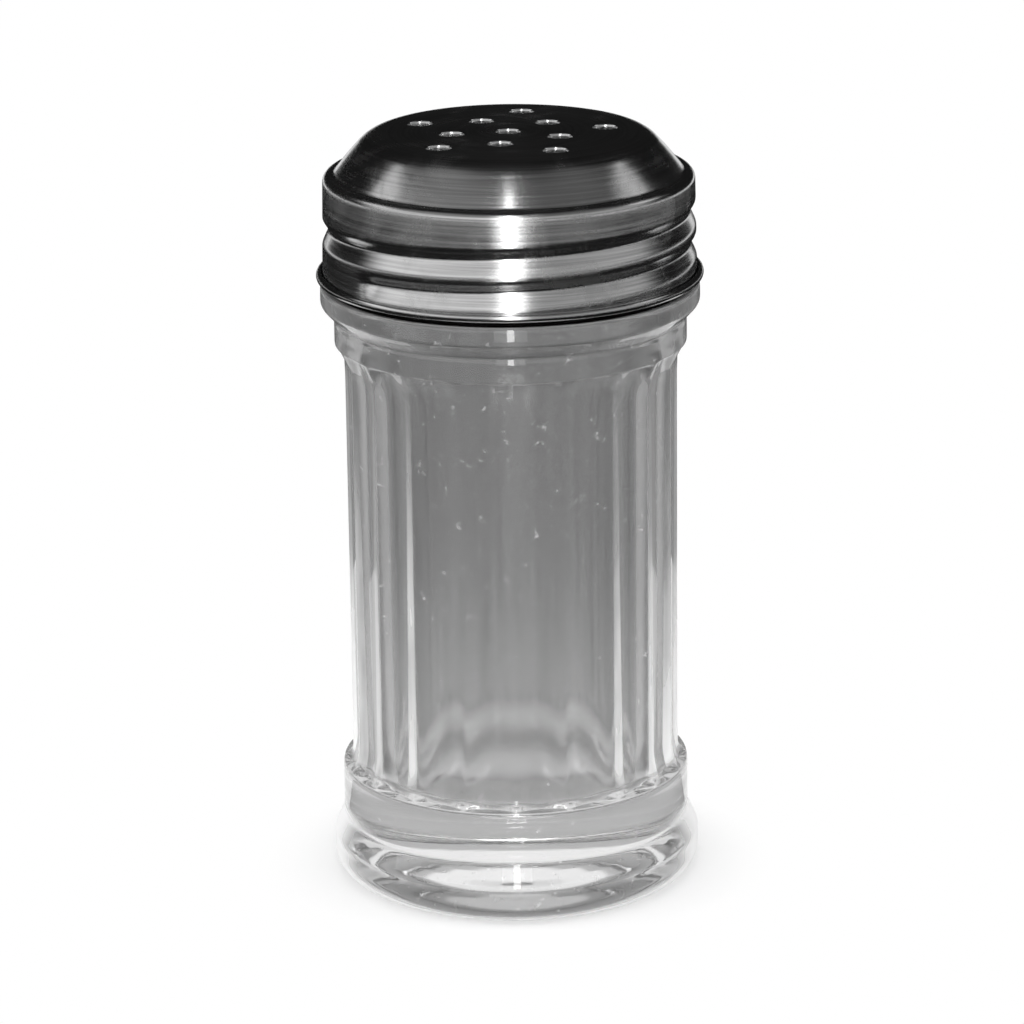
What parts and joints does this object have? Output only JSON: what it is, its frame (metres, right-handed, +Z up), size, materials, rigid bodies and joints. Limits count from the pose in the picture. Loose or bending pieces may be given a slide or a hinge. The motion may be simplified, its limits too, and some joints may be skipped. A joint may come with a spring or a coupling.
{
  "type": "restaurant spice shaker dispenser",
  "caption": "Clear fluted glass shaker jar with a heavy foot and a domed, perforated stainless steel screw lid for pouring spice or grated cheese.",
  "frame": {"origin": "centre of the circle that the foot of the jar stands on", "axes": "+Z up along the axis of the jar and lid; -Y is the front, seen in the usual view"},
  "size_m": [0.0604, 0.0604, 0.1206],
  "materials": {
    "clear_glass": "pressed and fire polished",
    "stainless_sheet": "stamped and buffed",
    "liner_plastic": "soft sealing compound"
  },
  "bodies": {
    "jar": {"glass_jar": "clear_glass"},
    "liner": {"lid_liner": "liner_plastic"},
    "lid": {"screw_lid": "stainless_sheet"}
  },
  "joints": [
    {"name": "lid_rise", "type": "slide", "parent": "jar", "child": "liner", "axis": [0, 0, 1], "range_m": [0, 0.02034]},
    {"name": "lid_turn", "type": "hinge", "parent": "liner", "child": "lid", "pos_m": [0, 0, 0], "axis": [0, 0, 1], "range_deg": [0, 1440]}
  ],
  "couplings": [
    {"joint": "lid_rise", "follows": "lid_turn", "m_per_rad": 0.00080851}
  ]
}
